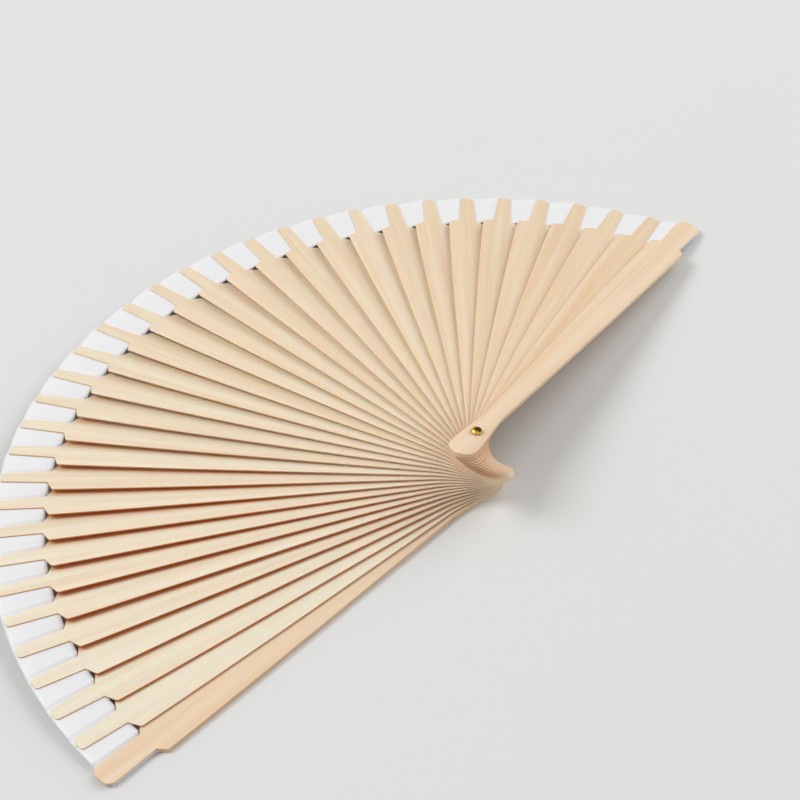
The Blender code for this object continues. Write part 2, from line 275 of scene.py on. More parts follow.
def thickness(index):
    return GUARD_THICKNESS if index in (GUARD_TOP, GUARD_BOTTOM) else STICK_THICKNESS


def level(index):
    """Height of a piece's middle plane over the bottom guard's, along the rivet."""
    if index == GUARD_BOTTOM:
        return 0.0
    below = index + 1
    wedge = SHOULDER_WIDTH / 2 * math.tan(roll(index) - roll(below))
    return level(below) + (thickness(index) + thickness(below)) / 2 + STICK_GAP + wedge


def droop_of(index):
    """Angle by which a piece points down from the plane square to the rivet."""
    return DROOP + MIDDLE_SAG * math.sin(math.pi * opening(index) / opening())


def rivet_frame():
    """The rivet's own frame, with the bottom guard's middle plane at its origin."""
    side = Vector((-math.sin(heading(GUARD_BOTTOM)), math.cos(heading(GUARD_BOTTOM)), 0))
    lift = GUARD_THICKNESS / 2 / math.cos(DROOP)
    return Matrix.Rotation(-DROOP, 4, side) @ Matrix.Translation((0, 0, lift))


def turned_frame(index):
    """A piece's place in the rivet's frame."""
    turned = Matrix.Rotation(heading(index), 4, "Z")
    drooped = Matrix.Rotation(droop_of(index), 4, "Y")
    rolled = Matrix.Rotation(roll(index), 4, "X")
    return Matrix.Translation((0, 0, level(index))) @ turned @ drooped @ rolled


def piece_frame(index):
    """A piece's place in the world."""
    return rivet_frame() @ turned_frame(index)


# Materials


def linear(hex_colour):
    """Linear colour of an sRGB hex value."""
    values = [int(hex_colour[place : place + 2], 16) / 255 for place in (0, 2, 4)]
    lit = [value / 12.92 if value <= 0.04045 else ((value + 0.055) / 1.055) ** 2.4 for value in values]
    return (*lit, 1.0)


def add_node(tree, kind, settings, inputs):
    """Add a node with its settings and its inputs, each a value or the socket that feeds it."""
    node = tree.nodes.new(kind)
    for name, value in settings.items():
        setattr(node, name, value)
    for name, value in inputs.items():
        if isinstance(value, bpy.types.NodeSocket):
            tree.links.new(value, node.inputs[name])
        else:
            node.inputs[name].default_value = value
    return node


def new_material(name):
    """An empty material with its output node."""
    material = bpy.data.materials.new(name)
    material.use_nodes = True
    material.node_tree.nodes.clear()
    output = material.node_tree.nodes.new("ShaderNodeOutputMaterial")
    return material, material.node_tree, output


def mix_colours(tree, factor, first, second):
    node = add_node(tree, "ShaderNodeMix", {"data_type": "RGBA"}, {0: factor, 6: first, 7: second})
    return node.outputs[2]


def stretch(tree, vector, along, across):
    """Coordinates in which one unit is one grain feature, along and across the wood."""
    size = (1 / along, 1 / across, 1 / across)
    return add_node(tree, "ShaderNodeMapping", {}, {"Vector": vector, "Scale": size}).outputs["Vector"]


def noise(tree, vector, detail, roughness):
    inputs = {"Vector": vector, "Scale": 1.0, "Detail": detail, "Roughness": roughness}
    return add_node(tree, "ShaderNodeTexNoise", {}, inputs).outputs["Fac"]


def map_range(tree, value, from_low, from_high, to_low, to_high):
    inputs = {0: value, 1: from_low, 2: from_high, 3: to_low, 4: to_high}
    return add_node(tree, "ShaderNodeMapRange", {"clamp": True}, inputs).outputs[0]


def calculate(tree, operation, first, second):
    return add_node(tree, "ShaderNodeMath", {"operation": operation}, {0: first, 1: second}).outputs[0]


def read_attribute(tree, name):
    return add_node(tree, "ShaderNodeAttribute", {"attribute_name": name}, {}).outputs["Fac"]


def sanded_birch(name, sizes, colours, translucency, edge_brown_and_shade):
    """Sanded birch, cut along its grain. Real birch is nearly white, with fine straight
    fibres, wide soft growth bands and short brown flecks, and its cut edges look darker.
    Between thin sticks, light that passes through the wood makes the shade orange, and an
    Ambient Occlusion node paints more deep orange shade there, or a pale painted glow where
    the crease share is under nought. The cut edges also get painted shade."""
    material, tree, output = new_material(name)
    grain = add_node(tree, "ShaderNodeUVMap", {"uv_map": "grain"}, {}).outputs["UV"]
    tone = read_attribute(tree, "tone")
    rim = read_attribute(tree, "rim")
    painted_crease_shade = read_attribute(tree, "painted_crease_shade")
    fibres = noise(tree, stretch(tree, grain, FIBRE_LENGTH, sizes.fibre_width), 3.0, 0.6)
    bands = noise(tree, stretch(tree, grain, BAND_LENGTH, BAND_WIDTH), 2.0, 0.5)
    flecks = noise(tree, stretch(tree, grain, FLECK_LENGTH, FLECK_WIDTH), 1.0, 0.5)
    # Growth bands and fibres darken the wood together, the fibres less.
    banded = map_range(tree, bands, 0.35, 0.70, 0.0, 0.55)
    streaked = map_range(tree, fibres, 0.38, 0.72, 0.0, 0.32)
    toned = calculate(tree, "ADD", calculate(tree, "ADD", banded, streaked), tone)
    darkened = map_range(tree, toned, -0.2, 1.2, 0.0, 1.0)
    colour = mix_colours(tree, darkened, colours.pale_wood, colours.dark_wood)
    # Short brown flecks, two to three millimetres long, are what tells birch from lime.
    flecked = map_range(tree, flecks, 0.68, 0.80, 0.0, 0.35)
    colour = mix_colours(tree, flecked, colour, colours.cut_wood_and_edge_shade)
    # The cut edges are browned partly as cut wood and partly as painted shade, more on pieces turned from
    # the window.
    browned_and_shaded = map_range(tree, rim, 0.0, 1.0, 0.0, edge_brown_and_shade)
    colour = mix_colours(tree, browned_and_shaded, colour, colours.cut_wood_and_edge_shade)
    # Painted shade: an Ambient Occlusion node mixes hidden wood towards deep orange, by each point's
    # crease share.
    nearby = {"Distance": SHADE_REACH}
    openness = add_node(tree, "ShaderNodeAmbientOcclusion", {"samples": 8}, nearby).outputs["AO"]
    shaded = map_range(tree, openness, 0.14, 0.84, 0.94, 0.0)
    tinted = calculate(tree, "MULTIPLY", shaded, painted_crease_shade)
    painted_shade_mix = map_range(tree, tinted, 0.0, 1.0, 0.0, 1.0)
    colour = mix_colours(tree, painted_shade_mix, colour, colours.painted_shade_wood)
    # Painted light: where an edge stands towards the light, the hidden wood is mixed towards a pale glow,
    # so its shade is paler.
    painted_glow_mix = map_range(tree, tinted, -1.0, 0.0, 1.0, 0.0)
    colour = mix_colours(tree, painted_glow_mix, colour, linear(PAINTED_GLOW_COLOUR))
    rough = map_range(tree, fibres, 0.3, 0.7, 0.50, 0.64)
    # Sanded fibres stand about a hundredth of a millimetre proud.
    bump_inputs = {"Strength": 0.35, "Distance": FIBRE_HEIGHT, "Height": fibres}
    bump = add_node(tree, "ShaderNodeBump", {}, bump_inputs).outputs["Normal"]
    inputs = {"Base Color": colour, "Roughness": rough, "Normal": bump, "IOR": 1.5}
    shader = add_node(tree, "ShaderNodeBsdfPrincipled", {}, inputs)
    # Light that crosses half a millimetre of birch comes out deep orange.
    shader.inputs["Subsurface Weight"].default_value = translucency
    shader.inputs["Subsurface Radius"].default_value = (1.0, 0.36, 0.12)
    shader.inputs["Subsurface Scale"].default_value = WOOD_LIGHT_DEPTH
    tree.links.new(shader.outputs["BSDF"], output.inputs["Surface"])
    return material


def satin_ribbon(name, colour):
    """White polyester satin. Its long floats give a soft sheen and hide the weave, of which
    only fine lines along the ribbon show. The threads, 0.1 mm apart in the real one, are
    drawn 0.4 mm apart to show at all."""
    material, tree, output = new_material(name)
    cloth = add_node(tree, "ShaderNodeUVMap", {"uv_map": "weave"}, {}).outputs["UV"]
    threads = noise(tree, stretch(tree, cloth, THREAD_LENGTH, THREAD_SPACING), 2.0, 0.5)
    rows = noise(tree, stretch(tree, cloth, THREAD_SPACING, ROW_LENGTH), 1.0, 0.5)
    shade = map_range(tree, threads, 0.3, 0.7, 0.0, 0.35)
    tinted = mix_colours(tree, shade, colour, linear(THREAD_COLOUR))
    woven = calculate(tree, "ADD", threads, rows)
    bump_inputs = {"Strength": 0.25, "Distance": THREAD_HEIGHT, "Height": woven}
    bump = add_node(tree, "ShaderNodeBump", {}, bump_inputs).outputs["Normal"]
    inputs = {"Base Color": tinted, "Roughness": 0.42, "Normal": bump, "IOR": 1.53}
    shader = add_node(tree, "ShaderNodeBsdfPrincipled", {}, inputs)
    shader.inputs["Sheen Weight"].default_value = 0.12
    shader.inputs["Sheen Roughness"].default_value = 0.4
    # Thin satin lets light through, so that its back is never dark.
    shader.inputs["Subsurface Weight"].default_value = 0.25
    shader.inputs["Subsurface Radius"].default_value = (1.0, 1.0, 1.0)
    shader.inputs["Subsurface Scale"].default_value = CLOTH_LIGHT_DEPTH
    tree.links.new(shader.outputs["BSDF"], output.inputs["Surface"])
    return material


def hammered_brass(name, colour):
    """Polished brass that was hammered shut: bright, with small dents that break the
    reflections and fine tarnish between them."""
    material, tree, output = new_material(name)
    place = add_node(tree, "ShaderNodeTexCoord", {}, {}).outputs["Object"]
    dents = noise(tree, stretch(tree, place, DENT_WIDTH, DENT_WIDTH), 1.0, 0.5)
    tarnish = noise(tree, stretch(tree, place, TARNISH_WIDTH, TARNISH_WIDTH), 3.0, 0.6)
    dulled = map_range(tree, tarnish, 0.45, 0.75, 0.0, 0.5)
    tinted = mix_colours(tree, dulled, colour, linear(TARNISH_COLOUR))
    bump_inputs = {"Strength": 0.6, "Distance": DENT_DEPTH, "Height": dents}
    bump = add_node(tree, "ShaderNodeBump", {}, bump_inputs).outputs["Normal"]
    rough = map_range(tree, tarnish, 0.3, 0.7, 0.12, 0.26)
    inputs = {"Base Color": tinted, "Roughness": rough, "Normal": bump, "Metallic": 1.0}
    shader = add_node(tree, "ShaderNodeBsdfPrincipled", {}, inputs)
    tree.links.new(shader.outputs["BSDF"], output.inputs["Surface"])
    return material


def painted_table(name, colour):
    """Matt white table top. Its slight unevenness keeps the light from looking flat."""
    material, tree, output = new_material(name)
    place = add_node(tree, "ShaderNodeTexCoord", {}, {}).outputs["Object"]
    clouds = noise(tree, stretch(tree, place, CLOUD_WIDTH, CLOUD_WIDTH), 2.0, 0.5)
    grit = noise(tree, stretch(tree, place, GRIT_WIDTH, GRIT_WIDTH), 2.0, 0.5)
    uneven = map_range(tree, clouds, 0.3, 0.7, 0.0, 1.0)
    tinted = mix_colours(tree, uneven, colour, linear(CLOUD_COLOUR))
    bump_inputs = {"Strength": 0.05, "Distance": GRIT_HEIGHT, "Height": grit}
    bump = add_node(tree, "ShaderNodeBump", {}, bump_inputs).outputs["Normal"]
    inputs = {"Base Color": tinted, "Roughness": 0.9, "Normal": bump}
    shader = add_node(tree, "ShaderNodeBsdfPrincipled", {}, inputs)
    shader.inputs["Specular IOR Level"].default_value = 0.2
    tree.links.new(shader.outputs["BSDF"], output.inputs["Surface"])
    return material


# Modelling


def deselect():
    for thing in bpy.context.selected_objects:
        thing.select_set(False)


def take(thing):
    """Make one object the only selected and active one."""
    deselect()
    thing.select_set(True)
    bpy.context.view_layer.objects.active = thing


def pick(thing, mode, test):
    """Select, in edit mode, the vertices or faces that pass a test on their place and normal."""
    bpy.ops.mesh.select_mode(type=mode)
    bpy.ops.mesh.select_all(action="DESELECT")
    shape = bmesh.from_edit_mesh(thing.data)
    if mode == "VERT":
        chosen = [point for point in shape.verts if test(point.co, point.normal)]
    else:
        chosen = [face for face in shape.faces if test(face.calc_center_median(), face.normal)]
    for part in chosen:
        part.select_set(True)
    shape.select_flush_mode()
    bmesh.update_edit_mesh(thing.data)


def apply_modifier(thing, name, kind, settings):
    """Add a modifier with its settings and apply it."""
    take(thing)
    modifier = thing.modifiers.new(name, kind)
    for key, value in settings.items():
        setattr(modifier, key, value)
    bpy.ops.object.modifier_apply(modifier=name)


def drill(thing, radius, low, high):
    """Cut a round hole about Z between two heights."""
    deselect()
    bpy.ops.mesh.primitive_cylinder_add(
        vertices=HOLE_SIDES, radius=radius, depth=high - low, location=(0.0, 0.0, (low + high) / 2)
    )
    bit = bpy.context.object
    settings = {"operation": "DIFFERENCE", "solver": "EXACT", "object": bit}
    apply_modifier(thing, "drill", "BOOLEAN", settings)
    bpy.data.objects.remove(bit, do_unlink=True)


def tail_stations(tail_reach):
    """Places along the tail's round end and the neck, each with its half width."""
    radius = TAIL_WIDTH / 2
    centre = radius - tail_reach
    steps = 9
    stations = []
    for number in range(steps + 1):
        angle = math.pi / 2 * (1 + (steps + 0.5 - number) / (steps + 0.5))
        stations.append((centre + radius * math.cos(angle), radius * math.sin(angle)))
    stations[-1] = (centre, radius)
    neck = 10
    for number in range(1, neck):
        share = number / neck
        ease = (1 + math.cos(math.pi * share)) / 2
        x = centre + (WAIST_REACH - centre) * share
        stations.append((x, (WAIST_WIDTH + (TAIL_WIDTH - WAIST_WIDTH) * ease) / 2))
    return stations


def blade_stations(shoulder_width, curve):
    """Places along the blade, from the waist to the rounded shoulder."""
    corner_x = TONGUE_ROOT - SHOULDER_SLOPE
    end = corner_x - SHOULDER_CORNER_RADIUS
    count = 12
    stations = []
    for number in range(count + 1):
        share = number / count
        swell = 1 - (1 - share) ** curve
        x = WAIST_REACH + (end - WAIST_REACH) * share
        stations.append((x, (WAIST_WIDTH + (shoulder_width - WAIST_WIDTH) * swell) / 2))
    # Three points round the shoulder's corner, in shares of its radius.
    inset = SHOULDER_CORNER_RADIUS
    stations.append((corner_x - inset * 0.35, shoulder_width / 2 - inset * 0.12))
    stations.append((corner_x + inset * 0.1, shoulder_width / 2 - inset * 0.5))
    stations.append((corner_x + inset / 2, shoulder_width / 2 - inset))
    return stations


def tongue_stations(reach, base_width, end_width, radius):
    """Places along the tongue, from its root to its rounded end."""
    stations = [(TONGUE_ROOT, base_width / 2)]
    steps = 7
    for number in range(steps + 1):
        angle = math.pi / 2 * number / steps
        x = reach - radius + radius * math.sin(angle)
        stations.append((x, end_width / 2 - radius + radius * math.cos(angle)))
    return stations


def draw_blade(name, stations, depth):
    """Draw a flat strip from its tail, carry it on from station to station, and give it depth."""
    (start, half), *others = stations
    deselect()
    # A plane of one metre, which starts at the tail's end and is then narrowed to the first station.
    bpy.ops.mesh.primitive_plane_add(size=1.0, location=(start + 0.5, 0.0, -depth / 2))
    blade = bpy.context.object
    blade.name = name
    take(blade)
    bpy.ops.object.transform_apply(location=True, rotation=True, scale=True)
    bpy.ops.object.mode_set(mode="EDIT")
    pick(blade, "VERT", lambda place, normal: place.x < start + 0.5)
    bpy.ops.transform.resize(value=(1.0, 2 * half, 1.0), center_override=(start, 0.0, 0.0))
    pick(blade, "VERT", lambda place, normal: place.x > start + 0.5)
    x, half = others[0]
    bpy.ops.transform.translate(value=(x - start - 1.0, 0.0, 0.0))
    bpy.ops.transform.resize(value=(1.0, 2 * half, 1.0), center_override=(x, 0.0, 0.0))
    # The selected far edge is extruded to each further station, and set to its width there.
    bpy.ops.mesh.select_mode(type="EDGE")
    for next_x, next_half in others[1:]:
        bpy.ops.mesh.extrude_edges_move(TRANSFORM_OT_translate={"value": (next_x - x, 0.0, 0.0)})
        bpy.ops.transform.resize(value=(1.0, next_half / half, 1.0), center_override=(next_x, 0.0, 0.0))
        x, half = next_x, next_half
    bpy.ops.mesh.select_all(action="SELECT")
    bpy.ops.mesh.extrude_region_move(TRANSFORM_OT_translate={"value": (0.0, 0.0, depth)})
    bpy.ops.mesh.select_all(action="SELECT")
    bpy.ops.mesh.normals_make_consistent(inside=False)
    bpy.ops.object.mode_set(mode="OBJECT")
    return blade


def round_edges(blade, width, segments):
    """Round the edges, shade the rounding smooth and leave the broad faces flat."""
    settings = {"width": width, "segments": segments, "limit_method": "ANGLE"}
    settings["angle_limit"] = BLADE_EDGE_ANGLE
    apply_modifier(blade, "soft edges", "BEVEL", settings)
    bpy.ops.object.shade_smooth_by_angle(angle=BLADE_SMOOTH_ANGLE)
    bpy.ops.object.mode_set(mode="EDIT")
    pick(blade, "FACE", lambda place, normal: abs(normal.z) > BROAD_FACE_LEAST)
    bpy.ops.mesh.faces_shade_flat()
    bpy.ops.object.mode_set(mode="OBJECT")


def turned_from_window(index):
    """Share from 0 to 1 by which a piece's open edge is turned away from the window."""
    return smooth(index, WINDOW_TURN_PIECES)


def painted_crease_share(index, x):
    """Share of painted shade, mixed towards deep orange, at a place along a piece. Under nought
    it is a painted glow. Where the window's light reaches under the edges, and near the rivet,
    where the pieces hardly part, it stays pale."""
    if index in (GUARD_TOP, GUARD_BOTTOM):
        return LEAST_CREASE
    tail = blend(1.0, LEAST_CREASE, smooth(index, TAIL_CREASE_PIECES)) * TAIL_CREASE
    away = max(smooth(x, OUTER_CREASE_SPAN), INNER_CREASE * smooth(index, INNER_CREASE_PIECES))
    towards = blend(PAINTED_GLOW_SHARE, LEAST_CREASE, smooth(x, GLOW_END_SPAN))
    blade = blend(towards, away, turned_from_window(index))
    return blend(tail, blade, smooth(x, TAIL_CREASE_SPAN))


def rim_brown_and_painted_shade(index, x):
    """How brown the cut edge is at a place along a piece: partly the cut wood's own darker
    tone, partly painted shade on the tails of the top pieces and on edges turned from the window.
    """
    tail = blend(1.0, PALE_RIM, smooth(index, TAIL_RIM_PIECES))
    blade = blend(PALE_RIM, 1.0, turned_from_window(index))
    return blend(tail, blade, smooth(x, TAIL_RIM_SPAN))


def mark_grain(blade, index):
    """Lay the grain along the blade, and mark its cut edges with their brown and painted shade,
    its tone, which holds painted light, and its crease share of painted shade and glow.
    """
    draw = random.Random(index)
    shift = (draw.uniform(0.0, GRAIN_SHIFT), draw.uniform(0.0, GRAIN_SHIFT))
    guard = index in (GUARD_TOP, GUARD_BOTTOM)
    # Painted light: the sticks go from darker at the top of the pile to paler at the bottom, as the light
    # falls on them.
    drift = GUARD_TONE if guard else blend(TOP_PAINTED_SHADE_TONE, BOTTOM_PAINTED_LIGHT_TONE, index / GUARD_BOTTOM)
    tone = draw.uniform(-TONE_SPREAD, TONE_SPREAD) + drift
    mesh = blade.data
    grain = mesh.uv_layers.new(name="grain")
    for loop in mesh.loops:
        place = mesh.vertices[loop.vertex_index].co
        grain.data[loop.index].uv = (place.x + shift[0], place.y + place.z + shift[1])
    rim = mesh.attributes.new("rim", "FLOAT", "FACE")
    for face in mesh.polygons:
        cut = abs(face.normal.z) < CUT_FACE_MOST
        rim.data[face.index].value = rim_brown_and_painted_shade(index, face.center.x) if cut else 0.0
    tones = mesh.attributes.new("tone", "FLOAT", "POINT")
    for point in tones.data:
        point.value = tone
    painted_crease_shades = mesh.attributes.new("painted_crease_shade", "FLOAT", "POINT")
    for point in mesh.vertices:
        painted_crease_shades.data[point.index].value = painted_crease_share(index, point.co.x)


def settle(thing, name, place, material, body):
    """Put a finished piece in its place, give it its finish and let it ride on its body."""
    thing.name = name
    thing.data.name = name
    thing.data.materials.clear()
    thing.data.materials.append(material)
    thing.matrix_world = place
    take(thing)
    bpy.ops.object.transform_apply(location=True, rotation=True, scale=True)
    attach(thing, body)


class FanSizes(bpy.types.PropertyGroup):
    """Sizes that change the look of the fan and not its fit."""

    stick_rounding: bpy.props.FloatProperty(
        name="Stick Rounding",
        description="Rounding of the edges of the thin sticks",
        default=0.00009,
        min=0.00002,
        max=0.0002,
        precision=5,
        subtype="DISTANCE",
        unit="LENGTH",
    )
    guard_rounding: bpy.props.FloatProperty(
        name="Guard Rounding",
        description="Rounding of the sanded edges of the guards",
        default=0.00032,
        min=0.00005,
        max=0.0006,
        precision=5,
        subtype="DISTANCE",
        unit="LENGTH",
    )
    fibre_width: bpy.props.FloatProperty(
        name="Fibre Width",
        description="Width of one streak of the wood's grain",
        default=0.0007,
        min=0.0002,
        max=0.003,
        precision=5,
        subtype="DISTANCE",
        unit="LENGTH",
    )


class FanColours(bpy.types.PropertyGroup):
    """Colours of the fan and of the table under it."""

    pale_wood: bpy.props.FloatVectorProperty(
        name="Pale Wood",
        description="Lightest tone of the wood",
        default=linear("fae8d1"),
        size=4,
        min=0.0,
        max=1.0,
        subtype="COLOR",
    )
    dark_wood: bpy.props.FloatVectorProperty(
        name="Dark Wood",
        description="Darkest tone of the growth bands",
        default=linear("e7c6a0"),
        size=4,
        min=0.0,
        max=1.0,
        subtype="COLOR",
    )
    cut_wood_and_edge_shade: bpy.props.FloatVectorProperty(
        name="Cut Wood",
        description="Tone of cut edges and flecks",
        default=linear("ab743f"),
        size=4,
        min=0.0,
        max=1.0,
        subtype="COLOR",
    )
    painted_shade_wood: bpy.props.FloatVectorProperty(
        name="Deep Wood",
        description="Tone of the shade between the sticks, which is lit through the wood",
        default=linear("ea9138"),
        size=4,
        min=0.0,
        max=1.0,
        subtype="COLOR",
    )
    ribbon: bpy.props.FloatVectorProperty(
        name="Ribbon",
        description="Colour of the satin ribbon",
        default=linear("fbfbfd"),
        size=4,
        min=0.0,
        max=1.0,
        subtype="COLOR",
    )
    brass: bpy.props.FloatVectorProperty(
        name="Brass",
        description="Colour of the rivet",
        default=linear("e3bd55"),
        size=4,
        min=0.0,
        max=1.0,
        subtype="COLOR",
    )
    table: bpy.props.FloatVectorProperty(
        name="Table",
        description="Colour of the table top",
        default=linear("e3e3e2"),
        size=4,
        min=0.0,
        max=1.0,
        subtype="COLOR",
    )


class FAN_OT_sticks(bpy.types.Operator):
    """Model one thin stick and lay a copy of it over each of the thirty-two solids"""

    bl_idname = "folding_fan.sticks"
    bl_label = "Build Sticks"

    def execute(self, context):
        sizes, colours = context.scene.fan_sizes, context.scene.fan_colours
        stations = tail_stations(TAIL_REACH) + blade_stations(SHOULDER_WIDTH, STICK_CURVE)
        stations += tongue_stations(STICK_REACH, TONGUE_BASE_WIDTH, TONGUE_END_WIDTH, TONGUE_CORNER_RADIUS)
        model = draw_blade("stick", stations, STICK_THICKNESS)
        drill(model, HOLE_RADIUS, -STICK_THICKNESS, STICK_THICKNESS)
        round_edges(model, sizes.stick_rounding, 2)
        finish = sanded_birch(
            "sanded_birch_stick", sizes, colours, STICK_TRANSLUCENCY, STICK_RIM_BROWN_AND_SHADE
        )
        for index in range(1, GUARD_BOTTOM):
            take(model)
            bpy.ops.object.duplicate()
            stick = context.object
            mark_grain(stick, index)
            name = piece_name(index)
            settle(stick, f"birch_{name}", piece_frame(index), finish, name)
            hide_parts(name)
        bpy.data.objects.remove(model, do_unlink=True)
        return {"FINISHED"}


class FAN_OT_guards(bpy.types.Operator):
    """Model a planed guard, for the top of the pile and, turned over, for the bottom"""

    bl_idname = "folding_fan.guards"
    bl_label = "Build Guards"

    def execute(self, context):
        sizes, colours = context.scene.fan_sizes, context.scene.fan_colours
        finish = sanded_birch(
            "sanded_birch_guard", sizes, colours, GUARD_TRANSLUCENCY, GUARD_RIM_BROWN_AND_SHADE
        )
        for index in (GUARD_TOP, GUARD_BOTTOM):
            guard = self.model(index, sizes)
            mark_grain(guard, index)
            name = piece_name(index)
            settle(guard, f"birch_{name}", piece_frame(index), finish, name)
            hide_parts(name)
        return {"FINISHED"}

    def model(self, index, sizes):
        """Draw the guard, thin its tongue, plane its band and drill it."""
        stations = tail_stations(GUARD_TAIL_REACH) + blade_stations(GUARD_WIDTH, GUARD_CURVE)
        tongue = tongue_stations(
            GUARD_REACH, GUARD_TONGUE_BASE_WIDTH, GUARD_TONGUE_END_WIDTH, GUARD_TONGUE_CORNER_RADIUS
        )
        # The ramp down to the thin tongue starts part way along the shoulder's slope.
        ramp_x = TONGUE_ROOT - GUARD_RAMP_LENGTH
        before, after = stations[-1], tongue[0]
        share = (ramp_x - before[0]) / (after[0] - before[0])
        stations.append((ramp_x, blend(before[1], after[1], share)))
        guard = draw_blade("guard", stations + tongue, GUARD_THICKNESS)
        face = GUARD_THICKNESS / 2
        bpy.ops.object.mode_set(mode="EDIT")
        margin = GUARD_RAMP_LENGTH / 4
        pick(guard, "VERT", lambda place, normal: place.z > 0 and place.x > TONGUE_ROOT - margin)
        drop = GUARD_THICKNESS - GUARD_TONGUE_THICKNESS
        bpy.ops.transform.translate(value=(0.0, 0.0, -drop))
        # Plane the band along the edge: cut with one slanted plane through the ridge.
        flare = math.atan2((GUARD_WIDTH - WAIST_WIDTH) / 2, TONGUE_ROOT - WAIST_REACH)
        slope = math.atan2(GUARD_BEVEL_DEPTH, GUARD_BEVEL_WIDTH)
        slant = Matrix.Rotation(flare, 3, "Z") @ Matrix.Rotation(-slope, 3, "X")
        bpy.ops.mesh.select_all(action="SELECT")
        bpy.ops.mesh.bisect(
            plane_co=(WAIST_REACH, WAIST_WIDTH / 2 - GUARD_BEVEL_WIDTH, face),
            plane_no=slant @ Vector((0.0, 0.0, 1.0)),
            use_fill=True,
            clear_outer=True,
        )
        bpy.ops.object.mode_set(mode="OBJECT")
        drill(guard, HOLE_RADIUS, -GUARD_THICKNESS, GUARD_THICKNESS)
        if index == GUARD_BOTTOM:
            drill(guard, RECESS_RADIUS, face - RECESS_DEPTH, GUARD_THICKNESS)
        round_edges(guard, sizes.guard_rounding, 3)
        if index == GUARD_BOTTOM:
            take(guard)
            bpy.ops.transform.rotate(value=math.pi, orient_axis="X", center_override=(0.0, 0.0, 0.0))
            bpy.ops.object.transform_apply(location=True, rotation=True, scale=True)
        return guard


class FAN_OT_rivet(bpy.types.Operator):
    """Model the rivet's pin with its domed head and flat foot, and its washer"""

    bl_idname = "folding_fan.rivet"
    bl_label = "Build Rivet"

    def execute(self, context):
        finish = hammered_brass("hammered_brass", context.scene.fan_colours.brass)
        pin = self.model_pin()
        settle(pin, "brass_rivet_pin", rivet_frame(), finish, "bottom_guard")
        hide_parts("rivet_pin")
        washer = self.model_washer()
        low = FOOT_THICKNESS + WASHER_GAP
        centre = RIVET_AXIS * ((low + WASHER_THICKNESS / 2) / RIVET_AXIS.z)
        settle(washer, "brass_rivet_washer", Matrix.Translation(centre), finish, "bottom_guard")
        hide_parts("rivet_washer")
        return {"FINISHED"}

    def model_pin(self):
        """Draw out the pin's domed head and its foot, and cut the foot off level."""
        seat = level(GUARD_TOP) + GUARD_THICKNESS / 2 + HEAD_SEAT_GAP
        start = -GUARD_THICKNESS / 2
        low = start + FOOT_THICKNESS
        deselect()
        bpy.ops.mesh.primitive_cylinder_add(
            vertices=RIVET_SIDES,
            radius=PIN_RADIUS,
            depth=seat - low,
            location=(0.0, 0.0, (seat + low) / 2),
        )
        pin = bpy.context.object
        bpy.ops.object.transform_apply(location=True, rotation=True, scale=True)
        bpy.ops.object.mode_set(mode="EDIT")
        pick(pin, "FACE", lambda place, normal: normal.z > 0.9)
        radius = self.widen(PIN_RADIUS, HEAD_RADIUS, 0.0, seat)
        height = seat
        rings = 9
        for number in range(1, rings):
            angle = math.pi / 2 * number / rings
            next_height = seat + HEAD_HEIGHT * math.sin(angle)
            radius = self.widen(radius, HEAD_RADIUS * math.cos(angle), next_height - height, next_height)
            height = next_height
        pick(pin, "FACE", lambda place, normal: normal.z < -0.9 and place.z < low + PIN_RADIUS / 4)
        self.widen(PIN_RADIUS, FOOT_RADIUS, 0.0, low)
        # The foot is cut off level with the table, square to it and not to the pin.
        self.widen(FOOT_RADIUS, FOOT_RADIUS, -2 * FOOT_THICKNESS, start)
        bpy.ops.mesh.select_all(action="SELECT")
        turn = rivet_frame()
        level_plane = turn.inverted() @ Vector((0.0, 0.0, 0.0))
        downwards = turn.to_3x3().inverted() @ Vector((0.0, 0.0, -1.0))
        bpy.ops.mesh.bisect(plane_co=level_plane, plane_no=downwards, use_fill=True, clear_outer=True)
        bpy.ops.mesh.select_all(action="SELECT")
        bpy.ops.mesh.normals_make_consistent(inside=False)
        bpy.ops.object.mode_set(mode="OBJECT")
        bpy.ops.object.shade_smooth_by_angle(angle=RIVET_SMOOTH_ANGLE)
        return pin

    def widen(self, radius, next_radius, rise, height):
        """Extrude the selected round end, and scale it to its next radius."""
        bpy.ops.mesh.extrude_region_move(TRANSFORM_OT_translate={"value": (0.0, 0.0, rise)})
        ratio = next_radius / radius
        bpy.ops.transform.resize(value=(ratio, ratio, 1.0), center_override=(0.0, 0.0, height))
        return next_radius

    def model_washer(self):
        deselect()
        bpy.ops.mesh.primitive_cylinder_add(
            vertices=RIVET_SIDES, radius=WASHER_RADIUS, depth=WASHER_THICKNESS
        )
        washer = bpy.context.object
        drill(washer, WASHER_BORE, -WASHER_THICKNESS, WASHER_THICKNESS)
        round_edges(washer, WASHER_THICKNESS / 5, 2)
        return washer


